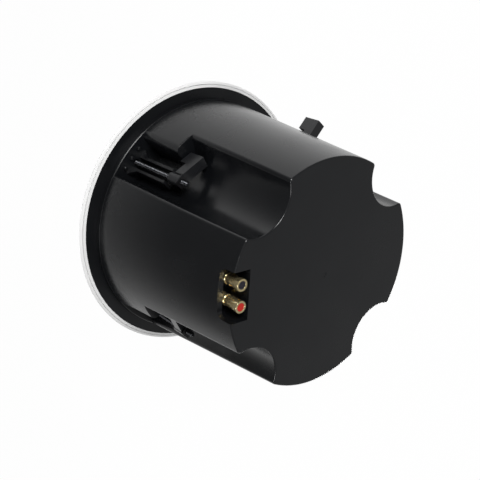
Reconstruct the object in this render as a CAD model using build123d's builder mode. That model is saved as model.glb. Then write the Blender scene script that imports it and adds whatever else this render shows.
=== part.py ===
"""In-ceiling loudspeaker: moulded back can, four swing-out clamps and a coaxial driver.

Millimetres, +Z up into the ceiling void, so the grille faces down. The origin is the centre of the
flange's upper face, which meets the underside of the ceiling. The terminal recess faces +X, and the
four clamps stand in flutes on the diagonals.
"""

import os
from math import cos, radians, sin

from build123d import *

os.makedirs("parts", exist_ok=True)

# Flange, bezel and grille
collar_radius = 118.0
collar_wall = 2.4
collar_bevel = 0.6
flange_width = 10.4
flange_thickness = 3.0
bezel_fit = 0.2
bezel_lip_width = 2.4
bezel_overhang = 3.0
bezel_depth = 8.6
bezel_step = 0.6
lip_top = -0.3
lip_slope = 0.5
lip_drop = 2.2
bezel_nose = 0.6
bezel_edge = 1.4
bezel_front_width = 12.0
bezel_groove_width = 0.7
bezel_groove_depth = 1.1
grille_inset = 6.8
grille_sheet = 1.0
grille_bend = 0.9
grille_fit = 0.3
grille_recess = 0.4
ledge_width = 2.4
ledge_thickness = 1.0
cloth_thickness = 0.4
hex_sides = 6
hole_rings = 5
hole_pitch = 20.0
hole_radius = 6.4

# Baffle and back can
plate_rear = 6.0
plate_thickness = 5.5
can_rear = 179.0
can_taper = 14.1
can_wall = 3.0
corner_round = 3.2
rear_round = 1.4
gate_mark_radius = 2.2
gate_mark_depth = 0.3

# Clamp flutes
flute_count = 4
flute_start_angle = 45.0
flute_inset = 3.7
flute_front_radius = 30.5
flute_rear_radius = 32.4
shoulder_height = 55.5
shoulder_edge = 11.5
shoulder_round = 6.0
ledge_round = 1.4
ledge_end_gap = 1.0

# Clamps, one in each flute: three stand parked and one stands swung out
open_clamp = 4
park_angle = 105.0
open_angle = 5.0
clamp_inset = 10.8
clamp_offset = 8.8
screw_radius = 2.5
screw_end = 86.0
screw_head_radius = 4.8
screw_head_height = 3.2
screw_fit = 0.2
thread_fit = 0.05
nut_radius = 3.6
nut_plate_width = 10.0
nut_plate_height = 1.4
nut_fit = 0.05
hub_radius = 5.0
hub_relief = 4.0
dog_height = 18.1
dog_reach = 29.0
arm_thickness = 10.0
arm_face = 4.9
arm_root = 3.4
toe_length = 13.0
toe_depth = 8.0
dog_round = 0.8
park_gap = 3.0
rail_fit = 0.4
rail_thickness = 2.5
rail_height = 51.5
rail_depth = 10.0
gusset_width = 6.0
gusset_height = 10.0
gusset_thickness = 3.0
peg_inset = 7.0
peg_angle = 4.8
peg_angle_step = 5.6
peg_radius = 2.0
peg_height = 3.0
peg_round = 1.2

# Terminal recess and binding posts
recess_depth = 18.9
recess_width = 44.0
terminal_offset = -1.7
recess_floor = 153.0
recess_lip = 164.0
recess_edge = 4.4
recess_round = 6.0
post_pitch = 19.0
post_setback = 7.0
stud_radius = 2.0
stud_length = 14.0
stud_fit = 0.1
post_base_radius = 5.0
post_base_height = 2.0
post_radius = 3.0
post_height = 20.0
post_hole_radius = 0.9
post_hole_height = 4.5
knob_bottom = 7.0
knob_length = 18.6
knob_radius = 4.5
knob_ring_radius = 5.1
knob_ring_length = 2.2
knob_end_radius = 5.4
knob_end_length = 4.4
knob_fit = 0.05
disc_radius = 3.5
disc_thickness = 1.4
disc_recess = 0.6
terminal_nut_radius = 3.8
terminal_nut_height = 3.2

# Driver
basket_gap = 1.8
basket_rim = 8.0
basket_sheet = 1.5
basket_foot = 3.0
basket_hem = 1.2
gasket_thickness = 1.5
gasket_width = 6.0
gasket_inset = 0.5
spider_seat_radius = 46.0
spider_seat_width = 6.0
spider_seat_height = 44.0
seat_drop = 6.0
window_count = 4
window_width = 46.0
window_low = 15.0
window_margin = 3.0
surround_gap = 1.2
surround_roll = 4.2
surround_skin = 0.8
surround_rim = 2.0
cone_skin = 0.9
cone_slope_skin = 1.35
cone_rim = 3.0
cone_gap = 8.0
coil_radius = 17.6
coil_gap = 0.4
former_skin = 0.3
former_reach = 10.0
winding_skin = 0.6
winding_length = 12.0
spider_skin = 0.7
spider_waves = 4
spider_wave_height = 1.2
top_plate_radius = 42.0
top_plate_height = 6.0
magnet_radius = 48.0
magnet_bore = 25.0
magnet_height = 16.0
back_plate_radius = 44.0
back_plate_height = 6.0

# Tweeter on its post
tweeter_radius = 18.0
tweeter_front = 2.0
tweeter_depth = 20.0
tweeter_wall = 1.5
tweeter_post_radius = 5.5
tweeter_post_bore = 3.0
tweeter_post_fit = 0.1
tweeter_nut_radius = 9.0
tweeter_nut_height = 4.0
tweeter_plate_height = 2.0
dome_radius = 12.7
dome_rise = 4.0
dome_skin = 0.5
dome_hem = 1.3
tweeter_magnet_radius = 13.0
tweeter_magnet_height = 6.0

# Crossover board, its parts and the damping pad
board_length = 44.0
board_width = 42.0
board_margin = 7.0
board_thickness = 1.6
choke_radius = 11.0
choke_height = 15.0
choke_bore = 4.0
capacitor_radius = 6.5
capacitor_length = 24.0
resistor_length = 16.0
resistor_width = 7.0
resistor_height = 7.0
resistor_gap = 1.0
part_margin = 1.0
pad_gap = 2.9
pad_thickness = 12.0

# Screws that hold the can and the driver
boss_radius = 4.5
boss_height = 16.0
boss_inset = 7.0
boss_angle = 20.0
can_screw_radius = 1.7
can_screw_length = 20.0
can_screw_head_radius = 3.8
can_screw_head_height = 2.4
can_screw_fit = 0.1
driver_screw_count = 4
driver_screw_inset = 3.0
driver_screw_radius = 1.6
driver_screw_length = 6.6
driver_screw_head_radius = 2.6
driver_screw_head_height = 2.0
driver_screw_fit = 0.1

# Places that several pieces share, worked out from the sizes above
spare = 10.0
plate_front = plate_rear - plate_thickness
collar_inner = collar_radius - collar_wall
can_rear_radius = collar_radius - can_taper
flute_axis = collar_radius - flute_inset
clamp_radius = flute_axis - clamp_inset
peg_circle = collar_radius - peg_inset
boss_circle = collar_radius - boss_inset
recess_back = can_rear_radius - recess_depth
recess_outer = can_rear_radius - recess_edge
post_centre = recess_back + post_setback
flange_radius = collar_radius + flange_width
bezel_step_radius = flange_radius + bezel_fit + bezel_lip_width
bezel_radius = bezel_step_radius + bezel_overhang
grille_radius = flange_radius - grille_inset
flange_front = -flange_thickness
bezel_front = -bezel_depth
grille_front = bezel_front + grille_recess
grille_back = grille_front + grille_sheet
grille_bore = grille_radius + grille_fit
ledge_front = flange_front - ledge_thickness
dog_front = shoulder_height + park_gap
dog_rear = dog_front + dog_height
rail_gap = 2 * (hub_radius + rail_fit)
recess_ceiling = recess_floor - can_wall
board_top = recess_ceiling - terminal_nut_height
board_bottom = board_top - board_thickness
board_start = post_centre + board_margin - board_length
basket_radius = flute_axis - flute_front_radius - can_wall - basket_gap
opening_radius = basket_radius - basket_rim
driver_screw_circle = basket_radius - driver_screw_inset
basket_front = plate_rear + gasket_thickness
basket_back = basket_front + basket_sheet
spider_floor_radius = spider_seat_radius - spider_seat_width
basket_depth = spider_seat_height + seat_drop
window_high = spider_seat_height - window_margin
cone_neck = spider_seat_height - cone_gap
former_end = basket_depth + former_reach
surround_outer = opening_radius - surround_gap
surround_middle = surround_outer - surround_roll
cone_edge_radius = surround_middle - surround_roll
winding_radius = coil_radius + winding_skin
pole_radius = coil_radius - former_skin - coil_gap
magnet_front = basket_depth + top_plate_height
back_plate_front = magnet_front + magnet_height
driver_rear = back_plate_front + back_plate_height
tweeter_back = tweeter_front + tweeter_depth
pad_radius = min(flute_axis - flute_rear_radius, recess_back) - can_wall - pad_gap
boss_sides = (-boss_angle, boss_angle)
peg_places = (peg_angle - peg_angle_step, peg_angle, peg_angle + peg_angle_step)
flute_step = 360 / flute_count
clamp_angles = {number: flute_start_angle + (number - 2) * flute_step for number in range(1, flute_count + 1)}

UPWARDS = (Align.CENTER, Align.CENTER, Align.MIN)
DOWNWARDS = (Align.CENTER, Align.CENTER, Align.MAX)


def write(piece, name):
    """Label a finished piece and write it as its own file."""
    piece.part.label = name
    export_step(piece.part, f"parts/{name}.step")


def flute_radius_at(height):
    """Radius of a flute at a height: it widens towards the rear, as the mould needs."""
    share = (height - plate_rear) / (can_rear - plate_rear)
    return flute_front_radius + share * (flute_rear_radius - flute_front_radius)


# Back can: a tapered drum with four flutes, drawn once for the outside and once for the cavity
def flute_cone(inset):
    """The tapered round of one flute, +X outwards, grown by inset."""
    low = plate_rear - spare
    high = can_rear + spare
    with BuildPart() as cone:
        with Locations((flute_axis, 0, low)):
            Cone(flute_radius_at(low) + inset, flute_radius_at(high) + inset, high - low, align=UPWARDS)
    return cone.part


def flute_space(inset):
    """Space of one flute, its round less the shoulder, grown by inset on every side."""
    with BuildPart() as space:
        add(flute_cone(inset))
        with Locations((flute_axis, -shoulder_edge - inset, shoulder_height - inset)):
            Box(
                3 * flute_rear_radius,
                3 * flute_rear_radius,
                shoulder_height + spare,
                align=(Align.CENTER, Align.MAX, Align.MAX),
                mode=Mode.SUBTRACT,
            )
    return space.part


def drum(inset):
    """The fluted drum without its terminal recess, drawn in by inset except at the open front."""
    flute = flute_space(inset)
    with BuildPart() as form:
        with BuildSketch(Plane.XZ):
            with BuildLine():
                Polyline(
                    (0, plate_rear),
                    (collar_radius - inset, plate_rear),
                    (can_rear_radius - inset, can_rear - inset),
                    (0, can_rear - inset),
                    close=True,
                )
            make_face()
        revolve(axis=Axis.Z)
        with PolarLocations(0, flute_count, start_angle=flute_start_angle):
            add(flute, mode=Mode.SUBTRACT)
    return form.part


def recess_space(inset, floor, outer):
    """Terminal recess, open to the rear, from its back wall out to a given X."""
    with BuildPart() as space:
        with BuildSketch(Plane.YZ.offset(recess_back - inset)):
            with Locations((terminal_offset, floor - inset)):
                RectangleRounded(
                    recess_width + 2 * inset,
                    2 * (can_rear - recess_floor) + spare,
                    recess_round + inset,
                    align=(Align.CENTER, Align.MIN),
                )
        extrude(amount=outer - recess_back + inset)
    return space.part


can_outside = drum(0)
can_inside = drum(can_wall)
recess_cup = recess_space(0, recess_floor, recess_outer)
recess_mouth = recess_space(0, recess_lip, collar_radius)
recess_walls = recess_space(can_wall, recess_floor, collar_radius)

with BuildPart() as can_cavity:
    add(can_inside)
    add(recess_walls, mode=Mode.SUBTRACT)

with BuildPart() as ledge_cut:
    ledge_low = shoulder_height - ledge_round
    ledge_radius = collar_radius - can_taper * (ledge_low - plate_rear) / (can_rear - plate_rear)
    with BuildSketch(Plane.XZ):
        with Locations((ledge_radius - ledge_round, ledge_low)):
            Rectangle(2 * ledge_round, ledge_round, align=(Align.MIN, Align.MIN))
            Circle(ledge_round, mode=Mode.SUBTRACT)
    revolve(axis=Axis.Z)
    add(flute_cone(-ledge_end_gap), mode=Mode.INTERSECT)

with BuildPart() as back_can:
    add(can_outside)
    long_edges = back_can.edges().filter_by(
        lambda edge: edge.bounding_box().size.Z > can_rear / 2
        and edge.center().X ** 2 + edge.center().Y ** 2 > (flute_axis - flute_front_radius / 2) ** 2
    )
    fillet(long_edges, corner_round)
    slot_edges = back_can.edges().filter_by(
        lambda edge: shoulder_height / 2 < edge.bounding_box().size.Z < shoulder_height
        and edge.center().X ** 2 + edge.center().Y ** 2 > (flute_axis - flute_front_radius / 2) ** 2
    )
    fillet(slot_edges, shoulder_round)
    with PolarLocations(0, flute_count, start_angle=flute_start_angle):
        add(ledge_cut.part, mode=Mode.SUBTRACT)
    fillet(back_can.faces().sort_by(Axis.Z)[-1].edges(), rear_round)
    add(recess_cup, mode=Mode.SUBTRACT)
    add(recess_mouth, mode=Mode.SUBTRACT)
    add(can_cavity.part, mode=Mode.SUBTRACT)
    with Locations((0, 0, can_rear)):
        Cylinder(gate_mark_radius, 2 * gate_mark_depth, mode=Mode.SUBTRACT)
    for side in boss_sides:
        with PolarLocations(boss_circle, flute_count, start_angle=side):
            with Locations((0, 0, plate_rear)):
                Cylinder(boss_radius, boss_height, align=UPWARDS)
    for side in boss_sides:
        with PolarLocations(boss_circle, flute_count, start_angle=side):
            with Locations((0, 0, plate_rear)):
                Cylinder(can_screw_radius + can_screw_fit, boss_height, align=UPWARDS, mode=Mode.SUBTRACT)
    with Locations((post_centre, terminal_offset, recess_ceiling)):
        with GridLocations(0, post_pitch, 1, 2):
            Cylinder(stud_radius + stud_fit, can_wall, align=UPWARDS, mode=Mode.SUBTRACT)
write(back_can, "back_can")


# Baffle: flange, spigot collar and plate, with a guide for each clamp standing on it
with BuildPart() as clamp_guide:
    with Locations((clamp_radius, clamp_offset, plate_rear)):
        Box(
            rail_depth,
            rail_gap + 2 * rail_thickness,
            rail_height,
            align=(Align.MAX, Align.CENTER, Align.MIN),
        )
        Box(
            rail_depth - rail_thickness,
            rail_gap,
            rail_height,
            align=(Align.MAX, Align.CENTER, Align.MIN),
            mode=Mode.SUBTRACT,
        )
    guide_side = rail_gap / 2 + rail_thickness
    with BuildSketch(Plane.YZ.offset(clamp_radius - gusset_thickness)):
        for side in (-1, 1):
            with BuildLine():
                Polyline(
                    (clamp_offset + side * guide_side, plate_rear),
                    (clamp_offset + side * (guide_side + gusset_width), plate_rear),
                    (clamp_offset + side * guide_side, plate_rear + gusset_height),
                    close=True,
                )
            make_face()
    extrude(amount=gusset_thickness)

with BuildPart() as foot_peg:
    Cylinder(peg_radius, peg_height, align=UPWARDS)
    fillet(foot_peg.edges().sort_by(Axis.Z)[-1], peg_round)

with BuildPart() as baffle:
    with BuildSketch(Plane.XZ):
        with BuildLine():
            Polyline(
                (opening_radius, plate_front),
                (collar_inner, plate_front),
                (collar_inner, flange_front),
                (flange_radius, flange_front),
                (flange_radius, 0),
                (collar_radius, 0),
                (collar_radius, plate_rear - collar_bevel),
                (collar_radius - collar_bevel, plate_rear),
                (opening_radius, plate_rear),
                close=True,
            )
        make_face()
    revolve(axis=Axis.Z)
    with PolarLocations(0, flute_count, start_angle=flute_start_angle):
        add(clamp_guide.part)
        with Locations((clamp_radius, clamp_offset, plate_front)):
            Cylinder(screw_radius + screw_fit, plate_thickness, align=UPWARDS, mode=Mode.SUBTRACT)
    for place in peg_places:
        with PolarLocations(peg_circle, flute_count, start_angle=flute_start_angle + place):
            with Locations((0, 0, plate_rear)):
                add(foot_peg.part)
    for side in boss_sides:
        with PolarLocations(boss_circle, flute_count, start_angle=side):
            with Locations((0, 0, plate_front)):
                Cylinder(can_screw_radius + can_screw_fit, plate_thickness, align=UPWARDS, mode=Mode.SUBTRACT)
    with PolarLocations(driver_screw_circle, driver_screw_count):
        with Locations((0, 0, basket_back - driver_screw_length)):
            Cylinder(
                driver_screw_radius + driver_screw_fit, driver_screw_length, align=UPWARDS, mode=Mode.SUBTRACT
            )
write(baffle, "baffle")

with BuildPart() as bezel_ring:
    with BuildSketch(Plane.XZ):
        with BuildLine():
            front_edge = bezel_radius - bezel_front_width / 2
            groove_top = lip_top - lip_slope - bezel_step
            Polyline(
                (front_edge, bezel_front),
                (grille_bore + bezel_edge, bezel_front),
                (grille_bore, bezel_front + bezel_edge),
                (grille_bore, ledge_front),
                (grille_bore - ledge_width, ledge_front),
                (grille_bore - ledge_width, flange_front),
                (flange_radius + bezel_fit, flange_front),
                (flange_radius + bezel_fit, lip_top),
                (bezel_step_radius, lip_top - lip_slope),
                (bezel_step_radius, groove_top - bezel_groove_depth),
                (bezel_step_radius + bezel_groove_width, groove_top - bezel_groove_depth),
                (bezel_step_radius + bezel_groove_width, groove_top),
                (bezel_radius - bezel_nose, -lip_drop),
                (bezel_radius, -lip_drop - bezel_nose),
            )
            RadiusArc(
                (bezel_radius, -lip_drop - bezel_nose),
                (front_edge, bezel_front),
                bezel_front_width,
            )
        make_face()
    revolve(axis=Axis.Z)
write(bezel_ring, "bezel_ring")

with BuildPart() as grille:
    with BuildSketch(Plane.XZ) as grille_section:
        with BuildLine():
            Polyline(
                (0, grille_front),
                (grille_radius, grille_front),
                (grille_radius, ledge_front),
                (grille_radius - grille_sheet, ledge_front),
                (grille_radius - grille_sheet, grille_back),
                (0, grille_back),
                close=True,
            )
        make_face()
        fillet(grille_section.vertices().sort_by_distance((grille_radius, grille_front))[0], grille_bend)
    revolve(axis=Axis.Z)
    with BuildSketch(Plane.XY.offset(grille_front)):
        RegularPolygon(hole_radius, hex_sides)
        for ring in range(1, hole_rings + 1):
            with PolarLocations(ring * hole_pitch, hex_sides * ring):
                RegularPolygon(hole_radius, hex_sides)
    extrude(amount=grille_sheet, mode=Mode.SUBTRACT)
write(grille, "grille")

with BuildPart() as grille_cloth:
    with Locations((0, 0, grille_back)):
        Cylinder(grille_radius - grille_sheet - grille_fit, cloth_thickness, align=UPWARDS)
write(grille_cloth, "grille_cloth")


# Clamps: a long screw, a nut with a square plate that the guide keeps from turning, and the swinging dog
def clamp_plane(number, swing):
    """Plane on a clamp's screw axis, X along the flute's radius turned by swing."""
    angle = radians(clamp_angles[number])
    across = radians(clamp_angles[number] + swing)
    origin = (
        clamp_radius * cos(angle) - clamp_offset * sin(angle),
        clamp_radius * sin(angle) + clamp_offset * cos(angle),
        0,
    )
    return Plane(origin=origin, x_dir=(cos(across), sin(across), 0), z_dir=(0, 0, 1))


for number in clamp_angles:
    axis_plane = clamp_plane(number, 0)
    with BuildPart() as clamp_screw:
        with BuildSketch(axis_plane.offset(plate_front)):
            Circle(screw_head_radius)
        extrude(amount=-screw_head_height)
        fillet(clamp_screw.edges().sort_by(Axis.Z)[0], screw_head_height / 2)
        with BuildSketch(axis_plane.offset(plate_front)):
            Circle(screw_radius)
        extrude(amount=screw_end - plate_front)
    write(clamp_screw, f"clamp_screw_{number}")

    with BuildPart() as clamp_nut:
        with BuildSketch(axis_plane.offset(dog_front + hub_relief)):
            Circle(nut_radius)
        extrude(amount=dog_height - hub_relief)
        with BuildSketch(axis_plane.offset(dog_rear)):
            Rectangle(nut_plate_width, nut_plate_width)
        extrude(amount=nut_plate_height)
        with BuildSketch(axis_plane.offset(dog_front)):
            Circle(screw_radius + thread_fit)
        extrude(amount=dog_height + nut_plate_height, mode=Mode.SUBTRACT)
    write(clamp_nut, f"clamp_nut_{number}")

    arm_plane = clamp_plane(number, open_angle if number == open_clamp else -park_angle)
    with BuildPart() as clamp_dog:
        with BuildSketch(arm_plane.offset(dog_front + toe_depth)):
            with Locations((arm_root, arm_face)):
                Rectangle(dog_reach - arm_root, arm_thickness, align=(Align.MIN, Align.MAX))
        extrude(amount=dog_height - toe_depth)
        with BuildSketch(arm_plane.offset(dog_front)):
            with Locations((dog_reach, arm_face)):
                Rectangle(toe_length, arm_thickness, align=(Align.MAX, Align.MAX))
        extrude(amount=toe_depth)
        tip_edges = clamp_dog.edges().filter_by(Axis.Z).sort_by_distance(arm_plane.origin)[-2:]
        fillet(tip_edges, dog_round)
        with BuildSketch(arm_plane.offset(dog_front + hub_relief)):
            Circle(hub_radius)
        extrude(amount=dog_height - hub_relief)
        with BuildSketch(arm_plane.offset(dog_front)):
            Circle(nut_radius + nut_fit)
        extrude(amount=dog_height, mode=Mode.SUBTRACT)
    write(clamp_dog, f"clamp_dog_{number}")


# Binding posts: a stud through the recess floor, a knurled knob on it and a coloured disc in its end
post_sides = {"black": terminal_offset - post_pitch / 2, "red": terminal_offset + post_pitch / 2}
for colour, post_y in post_sides.items():
    post_plane = Plane(origin=(post_centre, post_y, recess_floor))
    with BuildPart(post_plane) as terminal_stud:
        Cylinder(stud_radius, stud_length, align=DOWNWARDS)
        Cylinder(post_base_radius, post_base_height, align=UPWARDS)
        Cylinder(post_radius, post_height, align=UPWARDS)
        with Locations((0, 0, post_hole_height)):
            Cylinder(post_hole_radius, 3 * post_radius, rotation=(90, 0, 0), mode=Mode.SUBTRACT)
    write(terminal_stud, f"terminal_stud_{colour}")

    knob_top = knob_bottom + knob_length
    disc_bottom = knob_top - disc_recess - disc_thickness
    with BuildPart(post_plane) as terminal_knob:
        with Locations((0, 0, knob_bottom)):
            Cylinder(knob_radius, knob_length, align=UPWARDS)
            Cylinder(knob_ring_radius, knob_ring_length, align=UPWARDS)
        with Locations((0, 0, knob_top)):
            Cylinder(knob_end_radius, knob_end_length, align=DOWNWARDS)
        fillet(terminal_knob.edges().sort_by(Axis.Z)[-1], disc_recess)
        with Locations((0, 0, knob_bottom)):
            Cylinder(post_radius + knob_fit, knob_length, align=UPWARDS, mode=Mode.SUBTRACT)
        with Locations((0, 0, disc_bottom)):
            Cylinder(disc_radius + knob_fit, knob_length, align=UPWARDS, mode=Mode.SUBTRACT)
    write(terminal_knob, f"terminal_knob_{colour}")

    with BuildPart(post_plane) as terminal_disc:
        with Locations((0, 0, disc_bottom)):
            Cylinder(disc_radius, disc_thickness, align=UPWARDS)
    write(terminal_disc, f"terminal_disc_{colour}")

with BuildPart() as terminal_nuts:
    for nut_bottom in (board_top, board_bottom - terminal_nut_height):
        with BuildSketch(Plane.XY.offset(nut_bottom)):
            with Locations((post_centre, terminal_offset)):
                with GridLocations(0, post_pitch, 1, 2):
                    RegularPolygon(terminal_nut_radius, hex_sides)
                    Circle(stud_radius + stud_fit, mode=Mode.SUBTRACT)
        extrude(amount=terminal_nut_height)
write(terminal_nuts, "terminal_nuts")


# Crossover board on the post studs, with its choke, capacitor and resistor hanging below it
with BuildPart() as crossover_board:
    with BuildSketch(Plane.XY.offset(board_bottom)):
        with Locations((board_start, terminal_offset)):
            Rectangle(board_length, board_width, align=(Align.MIN, Align.CENTER))
        with Locations((post_centre, terminal_offset)):
            with GridLocations(0, post_pitch, 1, 2):
                Circle(stud_radius + stud_fit, mode=Mode.SUBTRACT)
    extrude(amount=board_thickness)
write(crossover_board, "crossover_board")

with BuildPart() as crossover_choke:
    choke_x = board_start + part_margin + choke_radius
    choke_y = terminal_offset + part_margin + choke_radius - board_width / 2
    with BuildSketch(Plane.XY.offset(board_bottom)):
        with Locations((choke_x, choke_y)):
            Circle(choke_radius)
            Circle(choke_bore, mode=Mode.SUBTRACT)
    extrude(amount=-choke_height)
write(crossover_choke, "crossover_choke")

with BuildPart() as crossover_capacitor:
    with BuildSketch(Plane.YZ.offset(board_start + part_margin)):
        capacitor_y = terminal_offset + board_width / 2 - part_margin - capacitor_radius
        with Locations((capacitor_y, board_bottom - capacitor_radius)):
            Circle(capacitor_radius)
    extrude(amount=capacitor_length)
write(crossover_capacitor, "crossover_capacitor")

with BuildPart() as crossover_resistor:
    with Locations((post_centre - terminal_nut_radius - resistor_gap, terminal_offset, board_bottom)):
        Box(
            resistor_width,
            resistor_length,
            resistor_height,
            align=(Align.MAX, Align.CENTER, Align.MAX),
        )
write(crossover_resistor, "crossover_resistor")

with BuildPart() as damping_pad:
    with Locations((0, 0, can_rear - can_wall)):
        Cylinder(pad_radius, pad_thickness, align=DOWNWARDS)
write(damping_pad, "damping_pad")


# Driver: every piece but its windows and screws is turned from a section in the XZ plane
def turned(points):
    """Solid of revolution about the speaker's axis from a closed section of (radius, height) points."""
    with BuildPart() as piece:
        with BuildSketch(Plane.XZ):
            with BuildLine():
                Polyline(*points, close=True)
            make_face()
        revolve(axis=Axis.Z)
    return piece


gasket_ring = turned([
    (basket_radius - gasket_inset - gasket_width, plate_rear),
    (basket_radius - gasket_inset, plate_rear),
    (basket_radius - gasket_inset, basket_front),
    (basket_radius - gasket_inset - gasket_width, basket_front),
])
with BuildPart() as woofer_gasket:
    add(gasket_ring.part)
    with PolarLocations(driver_screw_circle, driver_screw_count):
        with Locations((0, 0, plate_rear)):
            Cylinder(
                driver_screw_radius + driver_screw_fit, gasket_thickness, align=UPWARDS, mode=Mode.SUBTRACT
            )
write(woofer_gasket, "woofer_gasket")

basket_mouth = surround_outer + surround_skin / 2
basket_shell = turned([
    (basket_mouth, basket_front),
    (basket_radius, basket_front),
    (basket_radius, basket_back),
    (basket_mouth + basket_foot, basket_back),
    (spider_seat_radius + basket_hem, spider_seat_height + basket_sheet),
    (spider_floor_radius + basket_sheet, spider_seat_height + basket_sheet),
    (spider_floor_radius + basket_sheet, basket_depth),
    (winding_radius + coil_gap, basket_depth),
    (winding_radius + coil_gap, basket_depth - basket_sheet),
    (spider_floor_radius, basket_depth - basket_sheet),
    (spider_floor_radius, spider_seat_height),
    (spider_seat_radius, spider_seat_height),
])
with BuildPart() as woofer_basket:
    add(basket_shell.part)
    with PolarLocations(spider_seat_radius, window_count, start_angle=flute_start_angle):
        with Locations((0, 0, window_low)):
            Box(
                basket_radius,
                window_width,
                window_high - window_low,
                align=(Align.MIN, Align.CENTER, Align.MIN),
                mode=Mode.SUBTRACT,
            )
    with PolarLocations(driver_screw_circle, driver_screw_count):
        with Locations((0, 0, basket_front)):
            Cylinder(
                driver_screw_radius + driver_screw_fit, basket_sheet, align=UPWARDS, mode=Mode.SUBTRACT
            )
write(woofer_basket, "woofer_basket")

with BuildPart() as woofer_surround:
    roll_outer = surround_roll + surround_skin / 2
    roll_inner = surround_roll - surround_skin / 2
    rim_front = basket_front - surround_skin
    with BuildSketch(Plane.XZ):
        with Locations((surround_middle, rim_front)):
            Circle(roll_outer)
            Circle(roll_inner, mode=Mode.SUBTRACT)
            Rectangle(4 * roll_outer, 2 * roll_outer, align=(Align.CENTER, Align.MIN), mode=Mode.SUBTRACT)
        with Locations((surround_middle + roll_inner, rim_front)):
            Rectangle(surround_rim + surround_skin, surround_skin, align=(Align.MIN, Align.MIN))
        with Locations((surround_middle - roll_inner, rim_front)):
            Rectangle(cone_rim, surround_skin, align=(Align.MAX, Align.MIN))
    revolve(axis=Axis.Z)
write(woofer_surround, "woofer_surround")

woofer_cone = turned([
    (coil_radius, cone_neck),
    (cone_edge_radius - cone_rim, basket_front),
    (cone_edge_radius, basket_front),
    (cone_edge_radius, basket_front + cone_skin),
    (cone_edge_radius - cone_rim, basket_front + cone_slope_skin),
    (coil_radius, cone_neck + cone_slope_skin),
])
write(woofer_cone, "woofer_cone")

gap_middle = basket_depth + top_plate_height / 2
voice_coil = turned([
    (coil_radius - former_skin, cone_neck - cone_rim),
    (coil_radius, cone_neck - cone_rim),
    (coil_radius, gap_middle - winding_length / 2),
    (winding_radius, gap_middle - winding_length / 2),
    (winding_radius, gap_middle + winding_length / 2),
    (coil_radius, gap_middle + winding_length / 2),
    (coil_radius, former_end),
    (coil_radius - former_skin, former_end),
])
write(voice_coil, "voice_coil")

with BuildPart() as spider:
    wave_length = (spider_floor_radius - coil_radius) / (2 * spider_waves)
    wave = [
        (coil_radius + step * wave_length, spider_seat_height - spider_wave_height * (step % 2))
        for step in range(2 * spider_waves + 1)
    ]
    front_line = [(radius, height - spider_skin) for radius, height in wave]
    with BuildSketch(Plane.XZ):
        with BuildLine():
            Polyline(
                *wave,
                (spider_seat_radius, spider_seat_height),
                (spider_seat_radius, spider_seat_height - spider_skin),
                *reversed(front_line),
                close=True,
            )
        make_face()
    revolve(axis=Axis.Z)
write(spider, "spider")

top_plate = turned([
    (winding_radius + coil_gap, basket_depth),
    (top_plate_radius, basket_depth),
    (top_plate_radius, magnet_front),
    (winding_radius + coil_gap, magnet_front),
])
write(top_plate, "top_plate")

magnet = turned([
    (magnet_bore, magnet_front),
    (magnet_radius, magnet_front),
    (magnet_radius, back_plate_front),
    (magnet_bore, back_plate_front),
])
write(magnet, "magnet")

post_hole = tweeter_post_radius + tweeter_post_fit
back_plate = turned([
    (post_hole, basket_depth),
    (pole_radius, basket_depth),
    (pole_radius, back_plate_front),
    (back_plate_radius, back_plate_front),
    (back_plate_radius, driver_rear),
    (post_hole, driver_rear),
])
write(back_plate, "back_plate")


# Tweeter on a hollow post through the pole, held by a nut behind the driver
tweeter_post = turned([
    (tweeter_post_bore, tweeter_back),
    (tweeter_post_radius, tweeter_back),
    (tweeter_post_radius, driver_rear + tweeter_nut_height),
    (tweeter_post_bore, driver_rear + tweeter_nut_height),
])
write(tweeter_post, "tweeter_post")

with BuildPart() as tweeter_post_nut:
    with BuildSketch(Plane.XY.offset(driver_rear)):
        RegularPolygon(tweeter_nut_radius, hex_sides)
        Circle(tweeter_post_radius, mode=Mode.SUBTRACT)
    extrude(amount=tweeter_nut_height)
write(tweeter_post_nut, "tweeter_post_nut")

tweeter_mouth = tweeter_radius - tweeter_wall
tweeter_housing = turned([
    (tweeter_mouth, tweeter_front),
    (tweeter_radius, tweeter_front),
    (tweeter_radius, tweeter_back),
    (0, tweeter_back),
    (0, tweeter_back - tweeter_wall),
    (tweeter_mouth, tweeter_back - tweeter_wall),
])
write(tweeter_housing, "tweeter_housing")

with BuildPart() as tweeter_magnet:
    with Locations((0, 0, tweeter_back - tweeter_wall)):
        Cylinder(
            tweeter_magnet_radius,
            tweeter_magnet_height,
            align=DOWNWARDS,
        )
write(tweeter_magnet, "tweeter_magnet")

dome_base = tweeter_front + tweeter_plate_height
tweeter_faceplate = turned([
    (dome_radius, tweeter_front),
    (tweeter_mouth, tweeter_front),
    (tweeter_mouth, dome_base),
    (dome_radius, dome_base),
])
write(tweeter_faceplate, "tweeter_faceplate")

with BuildPart() as tweeter_dome:
    dome_sphere = (dome_radius**2 + dome_rise**2) / (2 * dome_rise)
    with Locations((0, 0, dome_base - dome_rise + dome_sphere)):
        Sphere(dome_sphere)
        Sphere(dome_sphere - dome_skin, mode=Mode.SUBTRACT)
    with Locations((0, 0, dome_base)):
        Cylinder(2 * dome_sphere, 3 * dome_sphere, align=UPWARDS, mode=Mode.SUBTRACT)
        Cylinder(dome_radius + dome_hem, dome_skin, align=UPWARDS)
        Cylinder(dome_radius - dome_skin, dome_skin, align=UPWARDS, mode=Mode.SUBTRACT)
write(tweeter_dome, "tweeter_dome")


# Screws: eight through the baffle into the can, four through the basket into the baffle
with BuildPart() as can_screws:
    for side in boss_sides:
        with PolarLocations(boss_circle, flute_count, start_angle=side):
            with Locations((0, 0, plate_front)):
                Cylinder(can_screw_head_radius, can_screw_head_height, align=DOWNWARDS)
                Cylinder(can_screw_radius, can_screw_length, align=UPWARDS)
write(can_screws, "can_screws")

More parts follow.
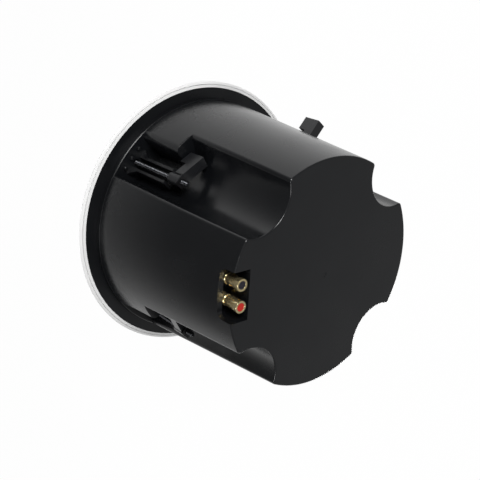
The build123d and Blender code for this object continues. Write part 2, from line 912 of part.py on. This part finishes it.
with BuildPart() as driver_screws:
    with PolarLocations(driver_screw_circle, driver_screw_count):
        with Locations((0, 0, basket_back)):
            Cylinder(driver_screw_head_radius, driver_screw_head_height, align=UPWARDS)
            Cylinder(driver_screw_radius, driver_screw_length, align=DOWNWARDS)
write(driver_screws, "driver_screws")
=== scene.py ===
"""In-ceiling speaker seen from behind: finishes for its solids, and finer pieces where a solid is plain."""
from math import cos, pi, radians, sin, sqrt, tau

import bmesh
import bpy
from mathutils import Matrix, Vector


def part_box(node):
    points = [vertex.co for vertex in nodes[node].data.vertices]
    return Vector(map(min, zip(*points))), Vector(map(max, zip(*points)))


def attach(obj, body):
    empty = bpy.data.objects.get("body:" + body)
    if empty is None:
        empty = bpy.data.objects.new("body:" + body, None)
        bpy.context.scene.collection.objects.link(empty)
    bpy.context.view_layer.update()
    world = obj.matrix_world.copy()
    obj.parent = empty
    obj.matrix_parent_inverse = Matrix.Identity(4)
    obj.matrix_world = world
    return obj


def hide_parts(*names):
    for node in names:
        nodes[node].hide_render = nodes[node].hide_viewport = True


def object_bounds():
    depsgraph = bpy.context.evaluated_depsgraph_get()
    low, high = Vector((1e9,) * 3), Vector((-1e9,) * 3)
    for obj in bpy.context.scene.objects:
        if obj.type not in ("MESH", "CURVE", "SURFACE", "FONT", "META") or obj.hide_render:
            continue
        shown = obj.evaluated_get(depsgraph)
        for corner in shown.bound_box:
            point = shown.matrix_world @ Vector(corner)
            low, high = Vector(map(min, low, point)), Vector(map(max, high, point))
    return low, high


MM = 0.001
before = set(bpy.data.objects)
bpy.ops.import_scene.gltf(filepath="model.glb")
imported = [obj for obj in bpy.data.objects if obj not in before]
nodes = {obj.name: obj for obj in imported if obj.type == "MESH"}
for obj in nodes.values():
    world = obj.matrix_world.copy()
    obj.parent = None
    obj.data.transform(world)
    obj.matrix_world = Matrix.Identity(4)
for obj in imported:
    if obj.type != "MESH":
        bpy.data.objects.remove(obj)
cad_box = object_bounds()
scene = bpy.context.scene
scene.view_settings.view_transform = "Standard"


# Shader groups, one for each effect that several finishes share
GROUP_OUTPUTS = {"Color": "NodeSocketColor", "Roughness": "NodeSocketFloat", "Normal": "NodeSocketVector"}
DRIFT_SCALE = 22.0
TARNISH_SCALE = 160.0
LINE_STRETCH = (1, 1, 40)
THREAD_WAVER = 0.6


def start_group(name, inputs):
    """New shader group with the given float or colour inputs and Color, Roughness and Normal outputs."""
    group = bpy.data.node_groups.new(name, "ShaderNodeTree")
    for label, value in inputs.items():
        kind = "NodeSocketFloat" if isinstance(value, float) else "NodeSocketColor"
        socket = group.interface.new_socket(name=label, in_out="INPUT", socket_type=kind)
        socket.default_value = value
    for label, kind in GROUP_OUTPUTS.items():
        group.interface.new_socket(name=label, in_out="OUTPUT", socket_type=kind)
    ends = group.nodes.new("NodeGroupInput"), group.nodes.new("NodeGroupOutput")
    return group, ends[0].outputs, ends[1].inputs


def object_noise(tree, scale, detail, stretch=(1, 1, 1)):
    """Noise on the object's own coordinates; scale is a number or a socket."""
    place = tree.nodes.new("ShaderNodeTexCoord")
    mapping = tree.nodes.new("ShaderNodeMapping")
    mapping.inputs["Scale"].default_value = stretch
    noise = tree.nodes.new("ShaderNodeTexNoise")
    noise.inputs["Detail"].default_value = detail
    tree.links.new(place.outputs["Object"], mapping.inputs["Vector"])
    tree.links.new(mapping.outputs["Vector"], noise.inputs["Vector"])
    if isinstance(scale, (int, float)):
        noise.inputs["Scale"].default_value = scale
    else:
        tree.links.new(scale, noise.inputs["Scale"])
    return noise.outputs["Fac"]


def spread(tree, value, low, high, start=0.35, end=0.65):
    """Map the middle of a noise onto the range between two sockets."""
    ramp = tree.nodes.new("ShaderNodeMapRange")
    ramp.inputs["From Min"].default_value = start
    ramp.inputs["From Max"].default_value = end
    tree.links.new(value, ramp.inputs["Value"])
    tree.links.new(low, ramp.inputs["To Min"])
    tree.links.new(high, ramp.inputs["To Max"])
    return ramp.outputs["Result"]


def mixed(tree, share, first, second):
    """Colour between two colour sockets, which a Mix node has at places 6, 7 and 2."""
    mix = tree.nodes.new("ShaderNodeMix")
    mix.data_type = "RGBA"
    tree.links.new(share, mix.inputs["Factor"])
    tree.links.new(first, mix.inputs[6])
    tree.links.new(second, mix.inputs[7])
    return mix.outputs[2]


def bumped(tree, height, depth):
    """Normal from a height, with its depth in metres from a socket."""
    bump = tree.nodes.new("ShaderNodeBump")
    bump.inputs["Strength"].default_value = 1.0
    tree.links.new(height, bump.inputs["Height"])
    tree.links.new(depth, bump.inputs["Distance"])
    return bump.outputs["Normal"]


def moulded_group():
    """Fine mould grain with a slow drift of gloss and colour, for plastics, rubber and paint."""
    group, given, result = start_group("moulded_skin", {
        "Dark": (0.0, 0.0, 0.0, 1.0), "Light": (0.0, 0.0, 0.0, 1.0), "Smooth": 0.3, "Dull": 0.4,
        "Grain Scale": 2500.0, "Grain Depth": 0.00001,
    })
    drift = object_noise(group, DRIFT_SCALE, 3.0)
    grain = object_noise(group, given["Grain Scale"], 2.0)
    group.links.new(mixed(group, drift, given["Dark"], given["Light"]), result["Color"])
    group.links.new(spread(group, drift, given["Smooth"], given["Dull"]), result["Roughness"])
    group.links.new(bumped(group, grain, given["Grain Depth"]), result["Normal"])
    return group


def turned_group():
    """Lathe lines around the speaker's axis direction, for turned and plated metal."""
    group, given, result = start_group("turned_metal", {
        "Dark": (0.0, 0.0, 0.0, 1.0), "Light": (0.0, 0.0, 0.0, 1.0), "Smooth": 0.2, "Dull": 0.4,
        "Line Scale": 60.0, "Line Depth": 0.00001,
    })
    lines = object_noise(group, given["Line Scale"], 3.0, LINE_STRETCH)
    tarnish = object_noise(group, TARNISH_SCALE, 3.0)
    group.links.new(mixed(group, tarnish, given["Dark"], given["Light"]), result["Color"])
    group.links.new(spread(group, lines, given["Smooth"], given["Dull"]), result["Roughness"])
    group.links.new(bumped(group, lines, given["Line Depth"]), result["Normal"])
    return group


def woven_group():
    """Plain weave of two crossed threads, for cloth and felt."""
    group, given, result = start_group("woven_cloth", {
        "Dark": (0.0, 0.0, 0.0, 1.0), "Light": (0.0, 0.0, 0.0, 1.0), "Smooth": 0.8, "Dull": 0.95,
        "Thread Scale": 600.0, "Thread Depth": 0.0001,
    })
    place = group.nodes.new("ShaderNodeTexCoord")
    threads = []
    for direction in ("X", "Y"):
        wave = group.nodes.new("ShaderNodeTexWave")
        wave.bands_direction = direction
        wave.inputs["Distortion"].default_value = THREAD_WAVER
        group.links.new(place.outputs["Object"], wave.inputs["Vector"])
        group.links.new(given["Thread Scale"], wave.inputs["Scale"])
        threads.append(wave.outputs["Fac"])
    cross = group.nodes.new("ShaderNodeMath")
    cross.operation = "MAXIMUM"
    group.links.new(threads[0], cross.inputs[0])
    group.links.new(threads[1], cross.inputs[1])
    weave = cross.outputs["Value"]
    dullness = spread(group, weave, given["Smooth"], given["Dull"], 0.0, 1.0)
    group.links.new(mixed(group, weave, given["Dark"], given["Light"]), result["Color"])
    group.links.new(dullness, result["Roughness"])
    group.links.new(bumped(group, weave, given["Thread Depth"]), result["Normal"])
    return group


GROUPS = {"moulded": moulded_group(), "turned": turned_group(), "woven": woven_group()}
PATTERN_SOCKETS = {
    "moulded": ("Grain Scale", "Grain Depth"),
    "turned": ("Line Scale", "Line Depth"),
    "woven": ("Thread Scale", "Thread Depth"),
}


def finish(name, effect, dark, light, smooth, dull, scale, depth, **sockets):
    """Material with one shared effect; further keywords set the shader's own sockets."""
    material = bpy.data.materials.new(name)
    material.use_nodes = True
    tree = material.node_tree
    shader = tree.nodes["Principled BSDF"]
    skin = tree.nodes.new("ShaderNodeGroup")
    skin.node_tree = GROUPS[effect]
    skin.inputs["Dark"].default_value = (*dark, 1.0)
    skin.inputs["Light"].default_value = (*light, 1.0)
    skin.inputs["Smooth"].default_value = smooth
    skin.inputs["Dull"].default_value = dull
    for label, value in zip(PATTERN_SOCKETS[effect], (scale, depth)):
        skin.inputs[label].default_value = value
    tree.links.new(skin.outputs["Color"], shader.inputs["Base Color"])
    tree.links.new(skin.outputs["Roughness"], shader.inputs["Roughness"])
    tree.links.new(skin.outputs["Normal"], shader.inputs["Normal"])
    for label, value in sockets.items():
        shader.inputs[label.replace("_", " ")].default_value = value
    return material


can_black = finish(
    "can_black", "moulded", (0.004, 0.0045, 0.0055), (0.006, 0.0065, 0.0075), 0.20, 0.28, 2200.0, 0.000012
)
baffle_black = finish(
    "baffle_black", "moulded", (0.004, 0.0045, 0.0055), (0.006, 0.0065, 0.0075), 0.26, 0.36,
    1800.0, 0.000016, Specular_IOR_Level=0.35
)
dog_black = finish(
    "dog_black", "moulded", (0.008, 0.0085, 0.010), (0.012, 0.0125, 0.014), 0.24, 0.36, 1500.0, 0.00002
)
bezel_white = finish(
    "bezel_white", "moulded", (0.80, 0.80, 0.80), (0.86, 0.86, 0.855), 0.36, 0.46, 1800.0, 0.000016
)
grille_white = finish(
    "grille_white", "moulded", (0.78, 0.78, 0.78), (0.84, 0.84, 0.835), 0.42, 0.55, 900.0, 0.00003
)
basket_black = finish(
    "basket_black", "moulded", (0.012, 0.012, 0.012), (0.020, 0.020, 0.020), 0.40, 0.55, 900.0, 0.00003
)
rubber_black = finish(
    "rubber_black", "moulded", (0.012, 0.012, 0.012), (0.020, 0.020, 0.020), 0.60, 0.75, 1600.0, 0.00002
)
foam_black = finish(
    "foam_black", "moulded", (0.010, 0.010, 0.010), (0.030, 0.030, 0.030), 0.85, 0.95, 700.0, 0.0002
)
cone_grey = finish(
    "cone_grey", "moulded", (0.030, 0.030, 0.033), (0.045, 0.045, 0.048), 0.40, 0.50, 500.0, 0.00004
)
insert_black = finish(
    "insert_black", "moulded", (0.008, 0.007, 0.012), (0.014, 0.012, 0.020), 0.22, 0.32, 1200.0, 0.00001
)
insert_red = finish(
    "insert_red", "moulded", (0.42, 0.012, 0.006), (0.56, 0.022, 0.010), 0.22, 0.32, 1200.0, 0.00001
)
board_green = finish(
    "board_green", "moulded", (0.030, 0.075, 0.025), (0.045, 0.100, 0.035), 0.30, 0.45, 400.0, 0.00001
)
sleeve_blue = finish(
    "sleeve_blue", "moulded", (0.020, 0.025, 0.070), (0.030, 0.035, 0.095), 0.25, 0.35, 600.0, 0.00001
)
ceramic_white = finish(
    "ceramic_white", "moulded", (0.62, 0.60, 0.55), (0.74, 0.72, 0.66), 0.60, 0.80, 1200.0, 0.00004
)
ferrite_grey = finish(
    "ferrite_grey", "moulded", (0.030, 0.030, 0.033), (0.050, 0.050, 0.054), 0.50, 0.70, 800.0, 0.00004
)
gold_plate = finish(
    "gold_plate", "turned", (0.66, 0.52, 0.25), (0.94, 0.82, 0.52), 0.10, 0.22,
    60.0, 0.00001, Metallic=0.92
)
nut_black = finish(
    "nut_black", "turned", (0.040, 0.040, 0.043), (0.070, 0.070, 0.074), 0.34, 0.50,
    60.0, 0.00001, Metallic=1.0
)
zinc_plate = finish(
    "zinc_plate", "turned", (0.42, 0.42, 0.42), (0.56, 0.56, 0.55), 0.28, 0.45,
    40.0, 0.00001, Metallic=1.0
)
screw_black = finish(
    "screw_black", "turned", (0.030, 0.031, 0.034), (0.055, 0.056, 0.060), 0.22, 0.36,
    60.0, 0.00001, Metallic=1.0
)
post_aluminium = finish(
    "post_aluminium", "turned", (0.60, 0.60, 0.61), (0.70, 0.70, 0.71), 0.30, 0.45,
    60.0, 0.00001, Metallic=1.0
)
coil_copper = finish(
    "coil_copper", "turned", (0.42, 0.16, 0.07), (0.60, 0.26, 0.12), 0.28, 0.45,
    90.0, 0.0001, Metallic=1.0
)
cloth_black = finish(
    "cloth_black", "woven", (0.008, 0.008, 0.008), (0.030, 0.030, 0.030), 0.85, 0.95, 700.0, 0.0001
)
spider_yellow = finish(
    "spider_yellow", "woven", (0.26, 0.18, 0.06), (0.46, 0.34, 0.14), 0.80, 0.95, 500.0, 0.0001
)
silk_black = finish(
    "silk_black", "woven", (0.016, 0.016, 0.016), (0.040, 0.040, 0.040), 0.45, 0.60, 900.0, 0.00003
)
felt_grey = finish(
    "felt_grey", "woven", (0.12, 0.12, 0.115), (0.26, 0.26, 0.25), 0.90, 0.98, 260.0, 0.0004
)

solid_finishes = {
    "back_can": can_black,
    "baffle": baffle_black,
    "bezel_ring": bezel_white,
    "grille": grille_white,
    "grille_cloth": cloth_black,
    "terminal_nuts": zinc_plate,
    "crossover_board": board_green,
    "crossover_choke": coil_copper,
    "crossover_capacitor": sleeve_blue,
    "crossover_resistor": ceramic_white,
    "damping_pad": felt_grey,
    "woofer_gasket": foam_black,
    "woofer_basket": basket_black,
    "woofer_surround": rubber_black,
    "woofer_cone": cone_grey,
    "voice_coil": coil_copper,
    "spider": spider_yellow,
    "top_plate": zinc_plate,
    "magnet": ferrite_grey,
    "back_plate": zinc_plate,
    "tweeter_post": post_aluminium,
    "tweeter_post_nut": zinc_plate,
    "tweeter_housing": basket_black,
    "tweeter_magnet": ferrite_grey,
    "tweeter_faceplate": basket_black,
    "tweeter_dome": silk_black,
    "can_screws": screw_black,
    "driver_screws": screw_black,
    "terminal_disc_black": insert_black,
    "terminal_disc_red": insert_red,
}
CLAMPS = (1, 2, 3, 4)
for number in CLAMPS:
    solid_finishes[f"clamp_screw_{number}"] = screw_black
    solid_finishes[f"clamp_nut_{number}"] = nut_black
    solid_finishes[f"clamp_dog_{number}"] = dog_black
POSTS = ("black", "red")
for colour in POSTS:
    solid_finishes[f"terminal_stud_{colour}"] = gold_plate
    solid_finishes[f"terminal_knob_{colour}"] = gold_plate
for name, material in solid_finishes.items():
    nodes[name].data.materials.clear()
    nodes[name].data.materials.append(material)


# Finer pieces: threaded clamp screws, knurled knobs and the perforated grille
def add_piece(bm, name, material, body, node):
    """Finish a bmesh as a piece that rides on a body and stands for a solid."""
    bmesh.ops.remove_doubles(bm, verts=bm.verts, dist=0.001 * MM)
    bmesh.ops.recalc_face_normals(bm, faces=bm.faces)
    mesh = bpy.data.meshes.new(name)
    bm.to_mesh(mesh)
    bm.free()
    mesh.materials.append(material)
    piece = bpy.data.objects.new(name, mesh)
    scene.collection.objects.link(piece)
    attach(piece, body)
    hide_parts(node)
    return piece


def smooth_by_angle(piece, degrees):
    """Shade a piece smooth, except across edges sharper than an angle."""
    piece.data.shade_smooth()
    piece.data.set_sharp_from_angle(angle=radians(degrees))


def spun(bm, profile, centre, steps, closed=False):
    """Turn a profile of (radius, height) points in millimetres about an upright axis."""
    points = [bm.verts.new((centre.x + radius * MM, centre.y, height * MM)) for radius, height in profile]
    pairs = list(zip(points, points[1:]))
    if closed:
        pairs.append((points[-1], points[0]))
    edges = [bm.edges.new(pair) for pair in pairs]
    bmesh.ops.spin(
        bm, geom=points + edges, cent=centre, axis=(0, 0, 1), angle=tau, steps=steps, use_merge=True
    )


def node_middle(name):
    """Centre of a solid's box at rest, on the floor of the frame."""
    low, high = (Vector(corner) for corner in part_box(name))
    middle = (low + high) / 2
    return Vector((middle.x, middle.y, 0))


CORE_RADIUS = 2.1
ROOT_RADIUS = 2.0
CREST_RADIUS = 2.5
THREAD_PITCH = 2.0
THREAD_STEPS = 18
THREAD_START = 7.0
THREAD_END_GAP = 1.0
ROOT_HALF_WIDTH = 0.6
CREST_HALF_WIDTH = 0.12
HEAD_RADIUS = 4.8
HEAD_HEIGHT = 3.2
HEAD_ROUNDING = 1.6
HEAD_CORNER = 0.5
TIP_BEVEL = 0.5
SHARP_ANGLE = 30


def threaded_screw(number):
    """Clamp screw: head and core spun, with a helical ridge wound around the core."""
    node = f"clamp_screw_{number}"
    centre = node_middle(node)
    bottom, top = (corner[2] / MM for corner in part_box(node))
    seat = bottom + HEAD_HEIGHT
    bm = bmesh.new()
    spun(bm, [
        (0, bottom), (HEAD_RADIUS - HEAD_ROUNDING, bottom),
        (HEAD_RADIUS - HEAD_CORNER, bottom + HEAD_CORNER), (HEAD_RADIUS, bottom + HEAD_ROUNDING),
        (HEAD_RADIUS, seat), (CORE_RADIUS, seat),
        (CORE_RADIUS, top - TIP_BEVEL), (CORE_RADIUS - TIP_BEVEL, top), (0, top),
    ], centre, THREAD_STEPS)
    turns = int((top - THREAD_END_GAP - THREAD_START) / THREAD_PITCH)
    section = (
        (ROOT_RADIUS, -ROOT_HALF_WIDTH), (CREST_RADIUS, -CREST_HALF_WIDTH),
        (CREST_RADIUS, CREST_HALF_WIDTH), (ROOT_RADIUS, ROOT_HALF_WIDTH),
    )
    ridge = [
        bm.verts.new((centre.x + radius * MM, centre.y, (THREAD_START + height) * MM))
        for radius, height in section
    ]
    loop = [bm.edges.new((ridge[i - 1], ridge[i])) for i in range(len(ridge))]
    bmesh.ops.spin(
        bm, geom=ridge + loop, cent=centre, axis=(0, 0, 1), angle=tau * turns, steps=THREAD_STEPS * turns,
        dvec=(0, 0, THREAD_PITCH / THREAD_STEPS * MM),
    )
    bmesh.ops.holes_fill(bm, edges=[edge for edge in bm.edges if edge.is_boundary], sides=len(ridge))
    piece = add_piece(bm, f"threaded_screw_{number}", screw_black, node, node)
    smooth_by_angle(piece, SHARP_ANGLE)


KNOB_RIBS = 36
KNOB_BORE = 3.1
KNOB_BARREL = 4.5
KNOB_RING = 5.1
KNOB_RING_LENGTH = 2.2
KNOB_END = 5.4
KNOB_END_LENGTH = 4.4
KNOB_EDGE = 0.3
DISC_SEAT = 3.55
DISC_SEAT_DEPTH = 2.0
LIP_HEIGHT = 0.6
LIP_STEPS = 8
RIB_INSET = 0.16
RIB_HEIGHT = 0.2
BARREL_SLACK = 0.2
BARREL_SHORTEST = 10
KNOB_SHARP_ANGLE = 25


def rounded_lip(inner, outer, top, height):
    """Half an ellipse of (radius, height) points over a ring's end, from its outside to its inside."""
    middle = (inner + outer) / 2
    half = (outer - inner) / 2
    turns = [pi * step / LIP_STEPS for step in range(LIP_STEPS + 1)]
    return [(middle + half * cos(turn), top - height + height * sin(turn)) for turn in turns]


def knurled_knob(colour):
    """Binding post knob: a spun profile with a ring at each end and straight ribs on the barrel."""
    node = f"terminal_knob_{colour}"
    centre = node_middle(node)
    low, high = (corner[2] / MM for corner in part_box(node))
    bm = bmesh.new()
    ring_top = low + KNOB_RING_LENGTH
    end_bottom = high - KNOB_END_LENGTH
    seat = high - DISC_SEAT_DEPTH
    spun(bm, [
        (KNOB_BORE, low), (KNOB_RING - KNOB_EDGE, low), (KNOB_RING, low + KNOB_EDGE),
        (KNOB_RING, ring_top - KNOB_EDGE), (KNOB_RING - KNOB_EDGE, ring_top), (KNOB_BARREL, ring_top),
        (KNOB_BARREL, end_bottom), (KNOB_END - KNOB_EDGE, end_bottom), (KNOB_END, end_bottom + KNOB_EDGE),
        *rounded_lip(DISC_SEAT, KNOB_END, high, LIP_HEIGHT), (DISC_SEAT, seat), (KNOB_BORE, seat),
    ], centre, KNOB_RIBS, closed=True)
    bm.faces.ensure_lookup_table()
    barrel = [
        face for face in bm.faces
        if max(edge.calc_length() for edge in face.edges) > BARREL_SHORTEST * MM
        and (face.calc_center_median() - centre).xy.length > (KNOB_BARREL - BARREL_SLACK) * MM
    ]
    bmesh.ops.recalc_face_normals(bm, faces=bm.faces)
    bmesh.ops.inset_individual(bm, faces=barrel, thickness=RIB_INSET * MM, depth=RIB_HEIGHT * MM)
    piece = add_piece(bm, f"knurled_knob_{colour}", gold_plate, f"knob_{colour}", node)
    smooth_by_angle(piece, KNOB_SHARP_ANGLE)


CELL_PITCH = 3.6
CELL_WEB = 0.45
CELL_DOUBLINGS = 6
SHEET = 0.8
MESH_RADIUS = 115.5
CELL_MERGE = 0.1
RIM_INNER = 114.6
RIM_WALL = 1.0
RIM_ROUNDING = 0.9
RIM_CORNER = 0.26
RIM_STEPS = 128


def doubled(bm, step, times):
    """Copy all of a bmesh one step on, then the pair two steps on, and so on."""
    for power in range(times):
        copies = bmesh.ops.duplicate(bm, geom=bm.verts[:] + bm.edges[:] + bm.faces[:])["geom"]
        moved = [item for item in copies if isinstance(item, bmesh.types.BMVert)]
        bmesh.ops.translate(bm, vec=step * 2 ** power, verts=moved)


def perforated_grille():
    """Grille: a honeycomb of small holes in a thin sheet, inside a plain rim with a turned edge."""
    low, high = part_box("grille")
    front, back = low[2] / MM, high[2] / MM
    radius = high[0] / MM
    across = Vector((CELL_PITCH * MM, 0, 0))
    up = Vector((0, CELL_PITCH * sqrt(3) * MM, 0))
    bm = bmesh.new()
    bmesh.ops.create_circle(bm, cap_ends=True, radius=CELL_PITCH / sqrt(3) * MM, segments=6)
    doubled(bm, across, CELL_DOUBLINGS)
    doubled(bm, (across + up) / 2, 1)
    doubled(bm, up, CELL_DOUBLINGS)
    corner = (across + up) * 2 ** (CELL_DOUBLINGS - 1)
    bmesh.ops.translate(bm, vec=Vector((0, 0, (front + SHEET / 2) * MM)) - corner, verts=bm.verts)
    outside = [face for face in bm.faces if face.calc_center_median().xy.length > MESH_RADIUS * MM]
    bmesh.ops.delete(bm, geom=outside, context="FACES")
    bmesh.ops.remove_doubles(bm, verts=bm.verts, dist=CELL_MERGE * MM)
    holes = list(bm.faces)
    bmesh.ops.inset_individual(bm, faces=holes, thickness=CELL_WEB * MM)
    bmesh.ops.delete(bm, geom=holes, context="FACES")
    bmesh.ops.recalc_face_normals(bm, faces=bm.faces)
    bmesh.ops.solidify(bm, geom=bm.faces, thickness=-SHEET * MM)
    spun(bm, [
        (RIM_INNER, front), (radius - RIM_ROUNDING, front),
        (radius - RIM_CORNER, front + RIM_CORNER), (radius, front + RIM_ROUNDING), (radius, back),
        (radius - RIM_WALL, back), (radius - RIM_WALL, front + RIM_WALL), (RIM_INNER, front + RIM_WALL),
    ], Vector((0, 0, 0)), RIM_STEPS, closed=True)
    piece = add_piece(bm, "perforated_grille", grille_white, "speaker", "grille")
    smooth_by_angle(piece, SHARP_ANGLE)


for number in CLAMPS:
    threaded_screw(number)
for colour in POSTS:
    knurled_knob(colour)
perforated_grille()


# Floor, lights and camera
# Painted light on the floor and sky: floor colour painted darker towards +X, reflections painted brighter
# on one side.
PAINTED_LIGHT_SIDE = (-1.0, 0.12, 0.0)
FLOOR_SPAN = (-0.25, 0.1)
FLOOR_PAINTED_SHADE = (0.10, 0.90)
FLOOR_PAINTED_REFLECTION = (0.01, 0.95)
FLOOR_SEEN = 0.985
FLOOR_RADIUS = 9.0
FLOOR_ROUGHNESS = 0.8
SKY_SIDE = (-0.5, 0.8, 0.3)
SKY_SPAN = (0.4, 0.9)
SKY_PAINTED_REFLECTION = (0.0, 0.05)
SKY_STRENGTH = 0.28
WHITE = (1, 1, 1, 1)


def look_at(thing, target):
    """Turn a lamp so that it shines at a point."""
    thing.rotation_euler = (Vector(target) - thing.location).to_track_quat("-Z", "Y").to_euler()


def soft_lamp(name, place, target, width, height, watts):
    """Oblong area lamp."""
    data = bpy.data.lights.new(name, "AREA")
    data.shape = "RECTANGLE"
    data.size = width
    data.size_y = height
    data.energy = watts
    lamp = bpy.data.objects.new(name, data)
    lamp.location = place
    scene.collection.objects.link(lamp)
    look_at(lamp, target)


def seen_share(tree, direct, mirrored):
    """Share of plain white: a number where it is seen directly, a socket in reflections and glass."""
    path = tree.nodes.new("ShaderNodeLightPath")
    indirect = tree.nodes.new("ShaderNodeMath")
    indirect.operation = "MAXIMUM"
    tree.links.new(path.outputs["Is Glossy Ray"], indirect.inputs[0])
    tree.links.new(path.outputs["Is Transmission Ray"], indirect.inputs[1])
    dimmed = tree.nodes.new("ShaderNodeMath")
    dimmed.operation = "MULTIPLY"
    tree.links.new(indirect.outputs["Value"], dimmed.inputs[0])
    tree.links.new(mirrored, dimmed.inputs[1])
    total = tree.nodes.new("ShaderNodeMath")
    total.operation = "MULTIPLY_ADD"
    total.inputs[1].default_value = direct
    tree.links.new(path.outputs["Is Camera Ray"], total.inputs[0])
    tree.links.new(dimmed.outputs["Value"], total.inputs[2])
    return total.outputs["Value"]


def painted_light_ramp(tree, coordinate, direction, start, end, low, high):
    """Smooth rise from one value to another along a direction, for painted light and shade."""
    place = tree.nodes.new("ShaderNodeTexCoord")
    along = tree.nodes.new("ShaderNodeVectorMath")
    along.operation = "DOT_PRODUCT"
    along.inputs[1].default_value = direction
    tree.links.new(place.outputs[coordinate], along.inputs[0])
    rise = tree.nodes.new("ShaderNodeMapRange")
    rise.interpolation_type = "SMOOTHSTEP"
    rise.inputs["From Min"].default_value = start
    rise.inputs["From Max"].default_value = end
    rise.inputs["To Min"].default_value = low
    rise.inputs["To Max"].default_value = high
    tree.links.new(along.outputs["Value"], rise.inputs["Value"])
    return rise.outputs["Result"]


def pale_floor():
    """Wide white floor under the bezel, with a light shadow, painted shade towards +X and painted light in
    reflections.
    """
    bm = bmesh.new()
    bmesh.ops.create_circle(bm, cap_ends=True, radius=FLOOR_RADIUS, segments=96)
    bmesh.ops.translate(bm, vec=(0, 0, cad_box[0][2]), verts=bm.verts)
    mesh = bpy.data.meshes.new("floor")
    bm.to_mesh(mesh)
    bm.free()
    floor = bpy.data.objects.new("floor", mesh)
    scene.collection.objects.link(floor)
    material = bpy.data.materials.new("floor_white")
    material.use_nodes = True
    tree = material.node_tree
    shader = tree.nodes["Principled BSDF"]
    # Painted shade: the floor's colour runs from dark towards +X to pale towards -X.
    painted_shade = painted_light_ramp(tree, "Object", PAINTED_LIGHT_SIDE, *FLOOR_SPAN, *FLOOR_PAINTED_SHADE)
    tree.links.new(painted_shade, shader.inputs["Base Color"])
    shader.inputs["Roughness"].default_value = FLOOR_ROUGHNESS
    glow = tree.nodes.new("ShaderNodeEmission")
    blend = tree.nodes.new("ShaderNodeMixShader")
    # Painted light in reflections: the floor's white share there rises towards -X.
    mirrored = painted_light_ramp(tree, "Object", PAINTED_LIGHT_SIDE, *FLOOR_SPAN, *FLOOR_PAINTED_REFLECTION)
    tree.links.new(seen_share(tree, FLOOR_SEEN, mirrored), blend.inputs["Fac"])
    tree.links.new(shader.outputs["BSDF"], blend.inputs[1])
    tree.links.new(glow.outputs["Emission"], blend.inputs[2])
    tree.links.new(blend.outputs["Shader"], tree.nodes["Material Output"].inputs["Surface"])
    mesh.materials.append(material)


def pale_world():
    """Dim sky for light, white where it is seen directly, and painted light in reflections on one side."""
    world = bpy.data.worlds.new("studio")
    scene.world = world
    world.use_nodes = True
    tree = world.node_tree
    dim = tree.nodes["Background"]
    dim.inputs["Color"].default_value = WHITE
    dim.inputs["Strength"].default_value = SKY_STRENGTH
    white = tree.nodes.new("ShaderNodeBackground")
    white.inputs["Color"].default_value = WHITE
    blend = tree.nodes.new("ShaderNodeMixShader")
    # Painted reflection: the sky's white share in reflections rises along one side.
    mirrored = painted_light_ramp(tree, "Generated", SKY_SIDE, *SKY_SPAN, *SKY_PAINTED_REFLECTION)
    tree.links.new(seen_share(tree, 1.0, mirrored), blend.inputs["Fac"])
    tree.links.new(dim.outputs["Background"], blend.inputs[1])
    tree.links.new(white.outputs["Background"], blend.inputs[2])
    tree.links.new(blend.outputs["Shader"], tree.nodes["World Output"].inputs["Surface"])


pale_floor()
pale_world()
SPEAKER_MIDDLE = (0.0, 0.0, 0.08)
soft_lamp("key", (0.85, -1.4, 1.35), SPEAKER_MIDDLE, 0.7, 0.7, 34.0)
soft_lamp("fill", (1.45, 0.6, 1.4), SPEAKER_MIDDLE, 0.6, 0.6, 9.0)
soft_lamp("back", (-1.5, 1.2, 0.13), SPEAKER_MIDDLE, 0.9, 0.24, 18.0)

camera_data = bpy.data.cameras.new("camera")
camera_data.sensor_width = 36.0
camera_data.lens = 61.41
camera = bpy.data.objects.new("camera", camera_data)
camera.location = (0.48063, -0.26912, 0.61873)
camera.rotation_euler = (radians(-23.4328), radians(-39.6541), radians(-175.5452))
scene.collection.objects.link(camera)
scene.camera = camera
